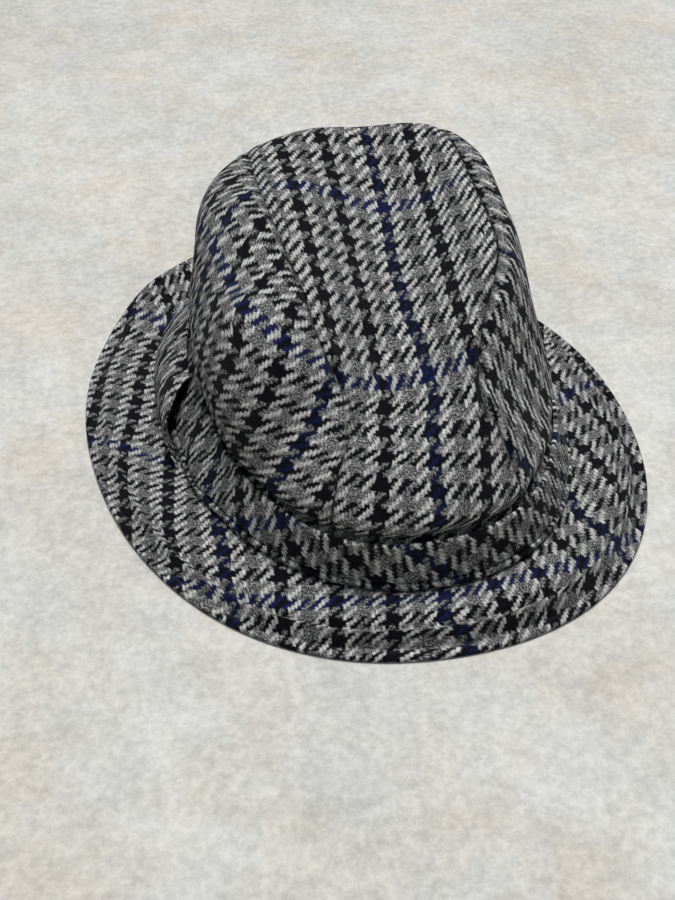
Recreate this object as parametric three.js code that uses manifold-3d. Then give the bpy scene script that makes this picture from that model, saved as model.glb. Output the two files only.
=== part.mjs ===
// Soft tweed trilby with a creased crown, a self-cloth band and a loop, lying on its brim.
// Millimetres, +Z up, the front of the hat towards -Y, the origin on the floor under the brim.
import * as THREE from 'three';
import { mergeVertices } from 'three/addons/utils/BufferGeometryUtils.js';
import Module from 'manifold-3d';

// Driving dimensions
const CROWN_WIDTH = 154;
const CROWN_LENGTH = 204;
const CROWN_HEIGHT = 108;
const CROWN_CLOTH = 2;
const CROWN_SIDE = -3;
const CROWN_BACK = -1;
const CROWN_TILT = 0.1;
const BRIM_WIDTH = 250;
const BRIM_LENGTH = 276;
const BRIM_CLOTH = 3;
const BRIM_ROOT = 11;
const BRIM_SQUARENESS = 2.08;
const BRIM_LEAN = 0.11;
const BRIM_EDGE_ROUNDING = 1;
const BACK_RISE = 14;
const ROLL_HEIGHT = 8;
const BAND_HEIGHT = 27;
const BAND_CLOTH = 2.4;
const LOOP_CLOTH = 2.2;
const LOOP_PUFF = 5;
const GAP = 0.3;

// How finely the cloth is faceted
const AROUND = 60;
const BAND_RINGS = 4;
const RINGS_ABOVE_BAND = 17;
const LOOP_STEPS = 10;
const LOOP_RINGS = 6;

// Sections of the crown from its base to the middle of its top.
// low is a share of the height behind the band, rise a share of the height above it.
// left, right are shares of half the crown's width, front, back of half its length.
// lean is how far a section shifts sideways towards the front.
const CROWN_SECTIONS = [
  { low: 0.0, rise: 0.0, left: -1.11, right: 1.2, front: -1.06, back: 1.12, squareness: 2.15, lean: 0.12 },
  { low: 0.5, rise: 0.0, left: -1.0, right: 1.13, front: -1.05, back: 1.06, squareness: 2.25, lean: 0.08 },
  { low: 1.0, rise: 0.0, left: -0.87, right: 1.08, front: -1.03, back: 1.0, squareness: 2.35, lean: 0.03 },
  { low: 1.0, rise: 0.24, left: -0.88, right: 1.06, front: -0.98, back: 1.0, squareness: 2.4, lean: 0.0 },
  { low: 1.0, rise: 0.48, left: -0.86, right: 1.02, front: -0.88, back: 1.01, squareness: 2.5, lean: -0.05 },
  { low: 1.0, rise: 0.69, left: -0.83, right: 0.98, front: -0.77, back: 1.01, squareness: 2.6, lean: -0.09 },
  { low: 1.0, rise: 0.86, left: -0.76, right: 0.93, front: -0.67, back: 0.99, squareness: 2.7, lean: -0.12 },
  { low: 1.0, rise: 0.97, left: -0.62, right: 0.87, front: -0.57, back: 0.94, squareness: 2.8, lean: -0.12 },
  { low: 1.0, rise: 1.01, left: -0.45, right: 0.74, front: -0.44, back: 0.85, squareness: 2.8, lean: -0.1 },
  { low: 1.0, rise: 1.02, left: -0.23, right: 0.55, front: -0.25, back: 0.68, squareness: 2.5, lean: -0.1 },
  { low: 1.0, rise: 1.02, left: 0.0, right: 0.36, front: -0.03, back: 0.42, squareness: 2.2, lean: -0.1 },
  { low: 1.0, rise: 1.02, left: 0.17, right: 0.17, front: 0.15, back: 0.15, squareness: 2.0, lean: -0.1 },
];

// Dents, folds and bulges that the worn cloth has taken, each a soft push on the crown.
// side, along and up are its centre, wide, long and tall its spread, and the last three its push.
// Sideways lengths are shares of half the crown's width, lengthways of half its length, upward of its height.
const CROWN_DENTS = [
  { name: 'crease back', side: 0.34, along: 0.74, up: 0.97, wide: 0.29, long: 0.35, tall: 0.37, toSide: 0, toBack: 0, toUp: -0.074 },
  { name: 'crease middle', side: 0.29, along: 0.25, up: 0.93, wide: 0.3, long: 0.33, tall: 0.37, toSide: 0, toBack: 0, toUp: -0.157 },
  { name: 'crease front', side: 0.18, along: -0.22, up: 0.88, wide: 0.29, long: 0.25, tall: 0.37, toSide: 0, toBack: 0, toUp: -0.148 },
  { name: 'front pinch', side: 0.05, along: -0.55, up: 0.83, wide: 0.26, long: 0.2, tall: 0.24, toSide: 0, toBack: 0.12, toUp: -0.185 },
  { name: 'pinch beside seam', side: -0.39, along: -0.63, up: 0.72, wide: 0.26, long: 0.18, tall: 0.2, toSide: 0.1, toBack: 0.1, toUp: -0.04 },
  { name: 'back left corner', side: -0.46, along: 0.93, up: 0.93, wide: 0.36, long: 0.29, tall: 0.37, toSide: -0.09, toBack: 0, toUp: -0.1 },
  { name: 'back right corner', side: 0.78, along: 0.93, up: 1.06, wide: 0.39, long: 0.29, tall: 0.28, toSide: -0.03, toBack: 0, toUp: -0.055 },
  { name: 'waist under ridge', side: 0.75, along: -0.59, up: 0.61, wide: 0.21, long: 0.22, tall: 0.15, toSide: -0.065, toBack: 0.04, toUp: 0 },
  { name: 'left overhang', side: -0.9, along: 0.1, up: 0.58, wide: 0.3, long: 0.45, tall: 0.12, toSide: -0.05, toBack: 0, toUp: 0 },
  { name: 'front bulge', side: 0.0, along: -0.95, up: 0.46, wide: 0.55, long: 0.2, tall: 0.08, toSide: 0, toBack: -0.025, toUp: 0 },
];

// The crown's two seams in plan, from front to back: shares of half the length and half the width.
const LEFT_SEAM = [
  { along: -1.25, side: -0.46 },
  { along: -0.92, side: -0.38 },
  { along: -0.74, side: -0.24 },
  { along: -0.6, side: -0.17 },
  { along: -0.46, side: -0.26 },
  { along: -0.2, side: -0.32 },
  { along: 0.2, side: -0.39 },
  { along: 0.6, side: -0.42 },
  { along: 0.95, side: -0.38 },
  { along: 1.3, side: -0.32 },
];

const RIGHT_SEAM = [
  { along: -1.25, side: 0.74 },
  { along: -0.95, side: 0.66 },
  { along: -0.78, side: 0.59 },
  { along: -0.69, side: 0.5 },
  { along: -0.58, side: 0.51 },
  { along: -0.42, side: 0.58 },
  { along: -0.25, side: 0.7 },
  { along: -0.05, side: 0.8 },
  { along: 0.3, side: 0.81 },
  { along: 0.65, side: 0.8 },
  { along: 0.95, side: 0.74 },
  { along: 1.3, side: 0.62 },
];

// The brim's top from its root to its edge: how far out each line lies, as a share of the brim.
const BRIM_LINES = { seat: 0.1, middle: 0.45, crest: 0.74, lip: 0.88 };

// Heights of those lines round the hat, by the angle in degrees from the right side.
// middle and crest are shares of ROLL_HEIGHT above the cloth, rim a share of BACK_RISE.
// reach is how far the outline comes out there, as a share of the plain oval.
const BRIM_ROLL = [
  { angle: -90, middle: 1.19, crest: 1.0, rim: 0.0, reach: 1.0 },
  { angle: -50, middle: 1.0, crest: 0.75, rim: 0.0, reach: 1.015 },
  { angle: 0, middle: 0.62, crest: 0.38, rim: 0.0, reach: 1.0 },
  { angle: 38, middle: 0.62, crest: 0.38, rim: 0.0, reach: 0.965 },
  { angle: 65, middle: 0.75, crest: 0.7, rim: 0.45, reach: 0.975 },
  { angle: 92, middle: 1.0, crest: 1.1, rim: 0.93, reach: 1.0 },
  { angle: 120, middle: 0.95, crest: 0.95, rim: 0.7, reach: 1.0 },
  { angle: 150, middle: 0.8, crest: 0.5, rim: 0.0, reach: 1.0 },
  { angle: 180, middle: 0.75, crest: 0.44, rim: 0.0, reach: 1.0 },
  { angle: 228, middle: 0.75, crest: 0.5, rim: 0.0, reach: 1.02 },
  { angle: 270, middle: 1.19, crest: 1.0, rim: 0.0, reach: 1.0 },
];

// Where the loop's open mouth and its closed rear end lie, in degrees round the band.
const LOOP_MOUTH_FOOT = 190;
const LOOP_MOUTH_HEAD = 176;
const LOOP_REAR = 142;

const halfWidth = CROWN_WIDTH / 2;
const halfLength = CROWN_LENGTH / 2;
const bandTop = BRIM_ROOT + BAND_HEIGHT;
const baseHeight = BRIM_ROOT - BRIM_CLOTH;
const radians = THREE.MathUtils.degToRad;

function signedPower(value, power) {
  return Math.sign(value) * Math.abs(value) ** power;
}

function ease(share) {
  const t = THREE.MathUtils.clamp(share, 0, 1);
  return t * t * (3 - 2 * t);
}

// A smooth curve through one column of a table, at a share of the way down the table.
function throughColumn(table, column, share) {
  const last = table.length - 1;
  const place = THREE.MathUtils.clamp(share, 0, 1) * last;
  const index = Math.min(Math.floor(place), last - 1);
  const t = place - index;
  const before = table[Math.max(index - 1, 0)][column];
  const start = table[index][column];
  const end = table[index + 1][column];
  const after = table[Math.min(index + 2, last)][column];
  const linear = (end - before) * t;
  const square = (2 * before - 5 * start + 4 * end - after) * t * t;
  const cube = (3 * start - before - 3 * end + after) * t * t * t;
  return (2 * start + linear + square + cube) / 2;
}

function sectionHeight(share) {
  const low = throughColumn(CROWN_SECTIONS, 'low', share);
  const rise = throughColumn(CROWN_SECTIONS, 'rise', share);
  return baseHeight + low * (bandTop - baseHeight) + rise * (CROWN_HEIGHT - bandTop);
}

// The share of the way up the section table where the crown reaches a height behind the band.
function shareAtHeight(height) {
  let low = 0;
  let high = 0.3;
  for (let step = 0; step < 40; step += 1) {
    const middle = (low + high) / 2;
    if (sectionHeight(middle) < height) {
      low = middle;
    } else {
      high = middle;
    }
  }
  return (low + high) / 2;
}

function pushDents(point) {
  const push = new THREE.Vector3();
  for (const dent of CROWN_DENTS) {
    const across = (point.x / halfWidth - dent.side) / dent.wide;
    const along = (point.y / halfLength - dent.along) / dent.long;
    const upward = (point.z / CROWN_HEIGHT - dent.up) / dent.tall;
    const weight = Math.exp(-(across ** 2 + along ** 2 + upward ** 2) / 2);
    push.x += weight * dent.toSide * halfWidth;
    push.y += weight * dent.toBack * halfLength;
    push.z += weight * dent.toUp * CROWN_HEIGHT;
  }
  return point.add(push);
}

// A point on the outside of the crown, at an angle round it and a share of the way up.
function crownPoint(angle, share) {
  const at = (column) => throughColumn(CROWN_SECTIONS, column, share);
  const power = 2 / at('squareness');
  const midX = ((at('left') + at('right')) / 2) * halfWidth;
  const midY = ((at('front') + at('back')) / 2) * halfLength;
  const reachX = ((at('right') - at('left')) / 2) * halfWidth;
  const reachY = ((at('back') - at('front')) / 2) * halfLength;
  const y = midY + reachY * signedPower(Math.sin(angle), power);
  const x = midX + reachX * signedPower(Math.cos(angle), power) - at('lean') * y;
  const height = sectionHeight(share);
  const above = ease((height - bandTop) / (CROWN_HEIGHT - bandTop));
  const z = height * (1 + CROWN_TILT * above * (y / halfLength));
  const point = pushDents(new THREE.Vector3(x, y, z));
  return point.add(new THREE.Vector3(CROWN_SIDE, CROWN_BACK, 0));
}

function crownNormal(angle, share) {
  const step = 0.004;
  const place = THREE.MathUtils.clamp(share, step, 1 - 3 * step);
  const round = crownPoint(angle + step, place).sub(crownPoint(angle - step, place));
  const up = crownPoint(angle, place + step).sub(crownPoint(angle, place - step));
  return round.cross(up).normalize();
}

// A point that stands off the crown's outside, or inside it where the distance is below zero.
function offCrown(angle, share, distance) {
  return crownPoint(angle, share).addScaledVector(crownNormal(angle, share), distance);
}

// The middle of the top, where the last section closes to a point.
function crownPole(distance) {
  const normal = new THREE.Vector3();
  for (let index = 0; index < AROUND; index += 1) {
    normal.add(crownNormal((index / AROUND) * 2 * Math.PI, 1));
  }
  return crownPoint(0, 1).addScaledVector(normal.normalize(), distance);
}

function ring(pointAt) {
  return Array.from({ length: AROUND }, (_, index) => pointAt((index / AROUND) * 2 * Math.PI));
}

// Joins a list of rings into one closed skin. A ring of one point is a pole, and without poles the
// last ring meets the first.
function skinRings(rings) {
  const positions = [];
  const index = [];
  const starts = [];
  for (const points of rings) {
    starts.push(positions.length / 3);
    for (const point of points) {
      positions.push(point.x, point.y, point.z);
    }
  }
  const pairs = rings.length;
  for (let row = 0; row < pairs; row += 1) {
    const next = (row + 1) % pairs;
    const lower = rings[row].length;
    const upper = rings[next].length;
    if (lower === 1 && upper === 1) {
      continue;
    }
    const count = Math.max(lower, upper);
    for (let step = 0; step < count; step += 1) {
      const a = starts[row] + (step % lower);
      const b = starts[row] + ((step + 1) % lower);
      const c = starts[next] + ((step + 1) % upper);
      const d = starts[next] + (step % upper);
      if (a !== b) {
        index.push(a, b, c);
      }
      if (c !== d) {
        index.push(a, c, d);
      }
    }
  }
  return closedGeometry(positions, index);
}

// Turns the faces outward if they point inward.
function closedGeometry(positions, index) {
  const corner = (k) => new THREE.Vector3().fromArray(positions, index[k] * 3);
  let volume = 0;
  for (let k = 0; k < index.length; k += 3) {
    volume += corner(k).dot(corner(k + 1).cross(corner(k + 2)));
  }
  if (volume < 0) {
    index.reverse();
  }
  const geometry = new THREE.BufferGeometry();
  geometry.setAttribute('position', new THREE.Float32BufferAttribute(positions, 3));
  geometry.setIndex(index);
  geometry.computeVertexNormals();
  return geometry;
}

function shares(count, from, to) {
  return Array.from({ length: count }, (_, index) => from + ((to - from) * index) / (count - 1));
}

// The heights of the rings that the band and the crown behind it share.
function bandHeights() {
  return shares(BAND_RINGS, BRIM_ROOT + 2 * GAP, bandTop);
}

// The crown's cloth as one hollow shell, open at the head.
function crownShell() {
  const foot = [baseHeight, BRIM_ROOT, ...bandHeights()].map(shareAtHeight);
  const rows = [...foot, ...shares(RINGS_ABOVE_BAND, foot.at(-1), 1).slice(1, -1)];
  const outside = rows.map((share) => ring((angle) => offCrown(angle, share, 0)));
  const inside = rows.map((share) => ring((angle) => offCrown(angle, share, -CROWN_CLOTH)));
  return skinRings([...outside, [crownPole(0)], [crownPole(-CROWN_CLOTH)], ...inside.reverse()]);
}

// A seam's line in plan, moved sideways.
function seamLine(path, aside) {
  return shares(25, 0, 1).map((share) => {
    const y = throughColumn(path, 'along', share) * halfLength + CROWN_BACK;
    const x = throughColumn(path, 'side', share) * halfWidth + CROWN_SIDE;
    return new THREE.Vector2(x + aside, y);
  });
}

function uprightBlock(outline) {
  const height = CROWN_HEIGHT * (1 + 2 * CROWN_TILT);
  return new THREE.ExtrudeGeometry(new THREE.Shape(outline), { depth: height, bevelEnabled: false, steps: 1 });
}

// A thin upright wall along a seam, as wide as the gap that parts the two panels.
function seamKnife(path) {
  return uprightBlock([...seamLine(path, -GAP / 2), ...seamLine(path, GAP / 2).reverse()]);
}

// A block that covers everything beyond a seam, as far as a place well outside the crown.
function beyondSeam(path, far) {
  const line = seamLine(path, 0);
  return uprightBlock([...line, new THREE.Vector2(far, line.at(-1).y), new THREE.Vector2(far, line[0].y)]);
}

function crownLine(angle, height, distance) {
  return offCrown(angle, shareAtHeight(height), distance);
}

// A column of the brim's table at an angle, eased from one row to the next.
function rollColumn(column, angle) {
  const degrees = ((THREE.MathUtils.radToDeg(angle) + 90 + 360) % 360) - 90;
  const next = Math.max(1, BRIM_ROLL.findIndex((row) => row.angle > degrees));
  const before = BRIM_ROLL[next - 1];
  const after = BRIM_ROLL[next];
  const share = (degrees - before.angle) / (after.angle - before.angle);
  return THREE.MathUtils.lerp(before[column], after[column], ease(share));
}

function brimOutline(angle, grow) {
  const power = 2 / BRIM_SQUARENESS;
  const reach = rollColumn('reach', angle);
  const y = (reach * BRIM_LENGTH / 2 + grow) * signedPower(Math.sin(angle), power);
  const x = (reach * BRIM_WIDTH / 2 + grow) * signedPower(Math.cos(angle), power) - BRIM_LEAN * y;
  return new THREE.Vector2(x, y);
}

// The brim's lines at an angle, each with its share of the way out and its height on top.
function brimLines(angle) {
  const rim = BRIM_CLOTH + rollColumn('rim', angle) * BACK_RISE;
  const middle = BRIM_CLOTH + rollColumn('middle', angle) * ROLL_HEIGHT;
  const crest = BRIM_CLOTH + rollColumn('crest', angle) * ROLL_HEIGHT;
  return [
    { out: 0, height: BRIM_ROOT },
    { out: BRIM_LINES.seat, height: BRIM_ROOT },
    { out: (BRIM_LINES.seat + BRIM_LINES.middle) / 2, height: (BRIM_ROOT + middle) / 2 },
    { out: BRIM_LINES.middle, height: middle },
    { out: (BRIM_LINES.middle + BRIM_LINES.crest) / 2, height: (middle + crest) / 2 },
    { out: BRIM_LINES.crest, height: crest },
    { out: (BRIM_LINES.crest + BRIM_LINES.lip) / 2, height: (crest + rim) / 2 },
    { out: BRIM_LINES.lip, height: rim },
    { out: 1, height: rim },
  ];
}

function brimPoint(angle, line, drop) {
  const { out, height } = brimLines(angle)[line];
  const root = crownLine(angle, height === BRIM_ROOT && line === 0 ? BRIM_ROOT - drop : BRIM_ROOT, GAP);
  const edge = brimOutline(angle, 0);
  const x = THREE.MathUtils.lerp(root.x, edge.x, out);
  const y = THREE.MathUtils.lerp(root.y, edge.y, out);
  return new THREE.Vector3(x, y, Math.max(0, height - drop));
}

// The brim is two layers of cloth sewn edge to edge, with a rolled outer rim.
function brimSolid() {
  const lines = brimLines(0).map((_, index) => index);
  const top = lines.map((line) => ring((angle) => brimPoint(angle, line, 0)));
  const under = lines.map((line) => ring((angle) => brimPoint(angle, line, BRIM_CLOTH)));
  const last = lines.length - 1;
  const rim = ring((angle) => {
    const edge = brimOutline(angle, BRIM_EDGE_ROUNDING);
    return new THREE.Vector3(edge.x, edge.y, brimLines(angle)[last].height - BRIM_CLOTH / 2);
  });
  return skinRings([...top, rim, ...under.reverse()]);
}

// The band wraps the foot of the crown and stands on the brim.
function bandSolid() {
  const heights = bandHeights();
  const inside = heights.map((height) => ring((angle) => crownLine(angle, height, GAP)));
  const outside = heights.map((height) => ring((angle) => crownLine(angle, height, GAP + BAND_CLOTH)));
  return skinRings([...outside, ...inside.reverse()]);
}

// A point of the loop: along it from mouth to rear, up it from foot to head, and through its cloth.
function loopPoint(along, up, depth) {
  const mouth = THREE.MathUtils.lerp(LOOP_MOUTH_FOOT, LOOP_MOUTH_HEAD, up);
  const angle = radians(THREE.MathUtils.lerp(mouth, LOOP_REAR, along));
  const height = THREE.MathUtils.lerp(BRIM_ROOT + 3 * GAP, bandTop, up);
  const puff = LOOP_PUFF * (1 - along) ** 1.5 * Math.sin(Math.PI * up) ** 0.8;
  return crownLine(angle, height, 3 * GAP + BAND_CLOTH + puff + depth * LOOP_CLOTH);
}

// The loop is a short puffed flap that holds the band's end on the left side.
function loopSolid() {
  const positions = [];
  const index = [];
  const columns = LOOP_RINGS;
  const place = (side, row, column) => (side * LOOP_STEPS + row) * columns + column;
  for (const side of [0, 1]) {
    for (const along of shares(LOOP_STEPS, 0, 1)) {
      for (const up of shares(columns, 0, 1)) {
        positions.push(...loopPoint(along, up, side).toArray());
      }
    }
  }
  const quad = (a, b, c, d) => index.push(a, b, c, a, c, d);
  for (let row = 0; row < LOOP_STEPS - 1; row += 1) {
    for (let column = 0; column < columns - 1; column += 1) {
      quad(place(1, row, column), place(1, row, column + 1), place(1, row + 1, column + 1), place(1, row + 1, column));
      quad(place(0, row, column), place(0, row + 1, column), place(0, row + 1, column + 1), place(0, row, column + 1));
    }
    quad(place(0, row, 0), place(1, row, 0), place(1, row + 1, 0), place(0, row + 1, 0));
    const end = columns - 1;
    quad(place(0, row, end), place(0, row + 1, end), place(1, row + 1, end), place(1, row, end));
  }
  for (let column = 0; column < columns - 1; column += 1) {
    quad(place(0, 0, column), place(0, 0, column + 1), place(1, 0, column + 1), place(1, 0, column));
    const end = LOOP_STEPS - 1;
    quad(place(0, end, column), place(1, end, column), place(1, end, column + 1), place(0, end, column + 1));
  }
  return closedGeometry(positions, index);
}

const wasm = await Module();
wasm.setup();

function toManifold(geometry) {
  const bare = geometry.clone();
  bare.deleteAttribute('normal');
  bare.deleteAttribute('uv');
  const merged = mergeVertices(bare, 1e-4);
  const vertProperties = new Float32Array(merged.attributes.position.array);
  const triVerts = new Uint32Array(merged.index.array);
  return new wasm.Manifold(new wasm.Mesh({ numProp: 3, vertProperties, triVerts }));
}

function toGeometry(solid) {
  const mesh = solid.getMesh();
  const geometry = new THREE.BufferGeometry();
  geometry.setAttribute('position', new THREE.BufferAttribute(new Float32Array(mesh.vertProperties), 3));
  geometry.setIndex(new THREE.BufferAttribute(new Uint32Array(mesh.triVerts), 1));
  geometry.computeVertexNormals();
  return geometry;
}

function tweed(color) {
  return new THREE.MeshStandardMaterial({ color, roughness: 0.95, metalness: 0 });
}

const hat = new THREE.Group();

function addPiece(name, geometry, color) {
  const mesh = new THREE.Mesh(geometry, tweed(color));
  mesh.name = name;
  hat.add(mesh);
}

const leftBlock = toManifold(beyondSeam(LEFT_SEAM, -CROWN_WIDTH));
const rightBlock = toManifold(beyondSeam(RIGHT_SEAM, CROWN_WIDTH));
const knives = [LEFT_SEAM, RIGHT_SEAM].map((path) => toManifold(seamKnife(path)));
const parted = toManifold(crownShell()).subtract(knives[0]).subtract(knives[1]);

addPiece('crown_left_panel', toGeometry(parted.intersect(leftBlock)), 0x58585c);
addPiece('crown_middle_panel', toGeometry(parted.subtract(leftBlock).subtract(rightBlock)), 0x626266);
addPiece('crown_right_panel', toGeometry(parted.intersect(rightBlock)), 0x58585c);
addPiece('band', bandSolid(), 0x4c4c52);
addPiece('band_loop', loopSolid(), 0x505056);
addPiece('brim', brimSolid(), 0x5c5c60);

export default hat;
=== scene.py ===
"""A soft tweed trilby in a houndstooth check, lying on a pale stone surface."""

import math

import bmesh
import bpy
import numpy as np
from bpy.props import FloatProperty, FloatVectorProperty, PointerProperty
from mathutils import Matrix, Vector


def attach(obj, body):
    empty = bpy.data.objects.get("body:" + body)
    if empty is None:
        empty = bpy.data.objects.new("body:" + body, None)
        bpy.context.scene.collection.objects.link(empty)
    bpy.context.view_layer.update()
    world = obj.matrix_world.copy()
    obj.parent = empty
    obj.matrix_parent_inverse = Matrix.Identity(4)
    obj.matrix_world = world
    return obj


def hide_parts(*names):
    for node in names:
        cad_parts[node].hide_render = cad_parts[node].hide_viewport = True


bl_info = {
    "name": "Tweed trilby",
    "blender": (4, 5, 0),
    "version": (1, 0, 0),
    "location": "View3D > Sidebar > Trilby",
    "description": "Builds a soft tweed trilby over its packed solids",
    "category": "Object",
}

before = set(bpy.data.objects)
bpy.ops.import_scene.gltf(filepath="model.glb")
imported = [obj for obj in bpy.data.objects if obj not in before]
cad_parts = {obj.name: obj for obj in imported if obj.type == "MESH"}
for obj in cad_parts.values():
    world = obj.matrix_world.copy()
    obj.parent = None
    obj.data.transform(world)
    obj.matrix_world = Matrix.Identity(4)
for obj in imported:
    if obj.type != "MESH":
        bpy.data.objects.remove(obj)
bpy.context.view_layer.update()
MM = 0.001


# Sizes and colours


def length(name, default, description):
    return FloatProperty(name=name, description=description, default=default, subtype="DISTANCE")


def ratio(name, default, description):
    return FloatProperty(name=name, description=description, default=default)


def colour(name, default, description):
    return FloatVectorProperty(
        name=name, description=description, default=default, size=4, subtype="COLOR", min=0, max=1
    )


class TrilbySizes(bpy.types.PropertyGroup):
    crown_width: length("Crown width", 0.154, "Width of the head opening that the sections are shares of")
    crown_length: length("Crown length", 0.204, "Length of the head opening that the sections are shares of")
    crown_height: length("Crown height", 0.108, "Height of the crown above the floor")
    crown_cloth: length("Crown cloth", 0.002, "Thickness of the crown's cloth")
    crown_side: length("Crown side shift", -0.003, "How far the crown stands right of the brim's middle")
    crown_back: length("Crown back shift", -0.001, "How far the crown stands behind the brim's middle")
    crown_tilt: ratio("Crown tilt", 0.1, "How much higher the crown's back is")
    brim_width: length("Brim width", 0.25, "Width of the brim's plain oval")
    brim_length: length("Brim length", 0.276, "Length of the brim's plain oval")
    brim_cloth: length("Brim cloth", 0.003, "Thickness of the brim's two layers")
    brim_root: length("Brim root", 0.011, "Height of the brim's top where it meets the crown")
    brim_squareness: ratio("Brim squareness", 2.08, "Power of the brim's oval")
    brim_lean: ratio("Brim lean", 0.11, "Sideways lean of the brim's oval")
    back_rise: length("Back rise", 0.014, "How far the brim's back edge is turned up")
    roll_height: length("Roll height", 0.008, "Height of the brim's roll that its table is a share of")
    band_height: length("Band height", 0.027, "Height of the band")
    band_cloth: length("Band cloth", 0.0024, "Thickness of the band")
    loop_cloth: length("Loop cloth", 0.0022, "Thickness of the loop")
    loop_puff: length("Loop puff", 0.0085, "How far the loop's mouth stands off the band")
    gap: length("Gap", 0.0003, "Gap between neighbouring pieces")
    check_across: length("Check across", 0.0103, "Width of one star of the check")
    check_along: length("Check along", 0.012, "Length of one star of the check")


class TrilbyColours(bpy.types.PropertyGroup):
    dark: colour("Dark yarn", (0.0045, 0.0045, 0.007, 1), "The black yarn")
    light: colour("Light yarn", (0.6, 0.6, 0.58, 1), "The off-white yarn")
    grey: colour("Grey yarn", (0.12, 0.12, 0.127, 1), "The melange yarn")
    blue: colour("Blue yarn", (0.006, 0.0108, 0.05, 1), "The navy yarn of the overcheck")
    stone: colour("Stone", (0.585, 0.58, 0.55, 1), "The pale surface")


# Tables

CROWN_SECTIONS = [
    dict(low=0.0, rise=0.0, left=-1.11, right=1.2, front=-1.06, back=1.12, squareness=2.15, lean=0.12),
    dict(low=0.5, rise=0.0, left=-1.0, right=1.13, front=-1.05, back=1.06, squareness=2.25, lean=0.08),
    dict(low=1.0, rise=0.0, left=-0.87, right=1.08, front=-1.03, back=1.0, squareness=2.35, lean=0.03),
    dict(low=1.0, rise=0.24, left=-0.88, right=1.06, front=-0.98, back=1.0, squareness=2.4, lean=0.0),
    dict(low=1.0, rise=0.48, left=-0.86, right=1.02, front=-0.88, back=1.01, squareness=2.5, lean=-0.05),
    dict(low=1.0, rise=0.69, left=-0.83, right=0.98, front=-0.77, back=1.01, squareness=2.6, lean=-0.09),
    dict(low=1.0, rise=0.86, left=-0.76, right=0.93, front=-0.67, back=0.99, squareness=2.7, lean=-0.12),
    dict(low=1.0, rise=0.97, left=-0.62, right=0.87, front=-0.57, back=0.94, squareness=2.8, lean=-0.12),
    dict(low=1.0, rise=1.01, left=-0.45, right=0.74, front=-0.44, back=0.85, squareness=2.8, lean=-0.1),
    dict(low=1.0, rise=1.02, left=-0.23, right=0.55, front=-0.25, back=0.68, squareness=2.5, lean=-0.1),
    dict(low=1.0, rise=1.02, left=0.0, right=0.36, front=-0.03, back=0.42, squareness=2.2, lean=-0.1),
    dict(low=1.0, rise=1.02, left=0.17, right=0.17, front=0.15, back=0.15, squareness=2.0, lean=-0.1),
]

# centre, spread and push of each dent, as shares of half the width, half the length and the height
CROWN_DENTS = {
    "crease back": ((0.34, 0.74, 0.97), (0.29, 0.35, 0.37), (0, 0, -0.074)),
    "crease middle": ((0.29, 0.25, 0.93), (0.3, 0.33, 0.37), (0, 0, -0.157)),
    "crease front": ((0.18, -0.22, 0.88), (0.29, 0.25, 0.37), (0, 0, -0.148)),
    "front pinch": ((0.05, -0.55, 0.83), (0.26, 0.2, 0.24), (0, 0.12, -0.185)),
    "pinch beside seam": ((-0.39, -0.63, 0.72), (0.26, 0.18, 0.2), (0.1, 0.1, -0.04)),
    "back left corner": ((-0.46, 0.93, 0.93), (0.36, 0.29, 0.37), (-0.09, 0, -0.1)),
    "back right corner": ((0.78, 0.93, 1.06), (0.39, 0.29, 0.28), (-0.03, 0, -0.055)),
    "waist under ridge": ((0.75, -0.59, 0.61), (0.21, 0.22, 0.15), (-0.065, 0.04, 0)),
    "left overhang": ((-0.9, 0.1, 0.58), (0.3, 0.45, 0.12), (-0.05, 0, 0)),
    "front bulge": ((0.0, -0.95, 0.46), (0.55, 0.2, 0.08), (0, -0.025, 0)),
}

# small folds of the crown's cloth, from one place to another in millimetres
CROWN_FOLDS = [
    dict(name="dimple", start=(-16, -50, 84), end=(-12, -66, 72), width=5.0, height=-2.2),
    dict(name="crease over band", start=(-45, -92, 44), end=(30, -108, 41), width=5.0, height=-1.6),
    dict(name="pull right", start=(46, -62, 84), end=(70, -84, 52), width=3.5, height=-1.6),
    dict(name="pull right low", start=(38, -70, 76), end=(58, -92, 48), width=3.0, height=1.3),
    dict(name="left pleat", start=(-30, -66, 74), end=(-58, -84, 40), width=4.5, height=-1.4),
    dict(name="full back corner", start=(-54, 50, 90), end=(-46, 84, 88), width=22.0, height=4.0),
    dict(name="full right side", start=(76, -14, 44), end=(64, 6, 92), width=26.0, height=2.4),
    dict(name="left ridge roll", start=(-44, -52, 92), end=(-64, -66, 52), width=7.0, height=1.6),
]

# the two seams in plan, from front to back: shares of half the length and half the width
LEFT_SEAM = [
    dict(along=-1.25, side=-0.46),
    dict(along=-0.92, side=-0.38),
    dict(along=-0.74, side=-0.24),
    dict(along=-0.6, side=-0.17),
    dict(along=-0.46, side=-0.26),
    dict(along=-0.2, side=-0.32),
    dict(along=0.2, side=-0.39),
    dict(along=0.6, side=-0.42),
    dict(along=0.95, side=-0.38),
    dict(along=1.3, side=-0.32),
]

RIGHT_SEAM = [
    dict(along=-1.25, side=0.74),
    dict(along=-0.95, side=0.66),
    dict(along=-0.78, side=0.59),
    dict(along=-0.69, side=0.5),
    dict(along=-0.58, side=0.51),
    dict(along=-0.42, side=0.58),
    dict(along=-0.25, side=0.7),
    dict(along=-0.05, side=0.8),
    dict(along=0.3, side=0.81),
    dict(along=0.65, side=0.8),
    dict(along=0.95, side=0.74),
    dict(along=1.3, side=0.62),
]

BRIM_LINES = dict(seat=0.1, middle=0.45, crest=0.74, lip=0.88)

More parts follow.
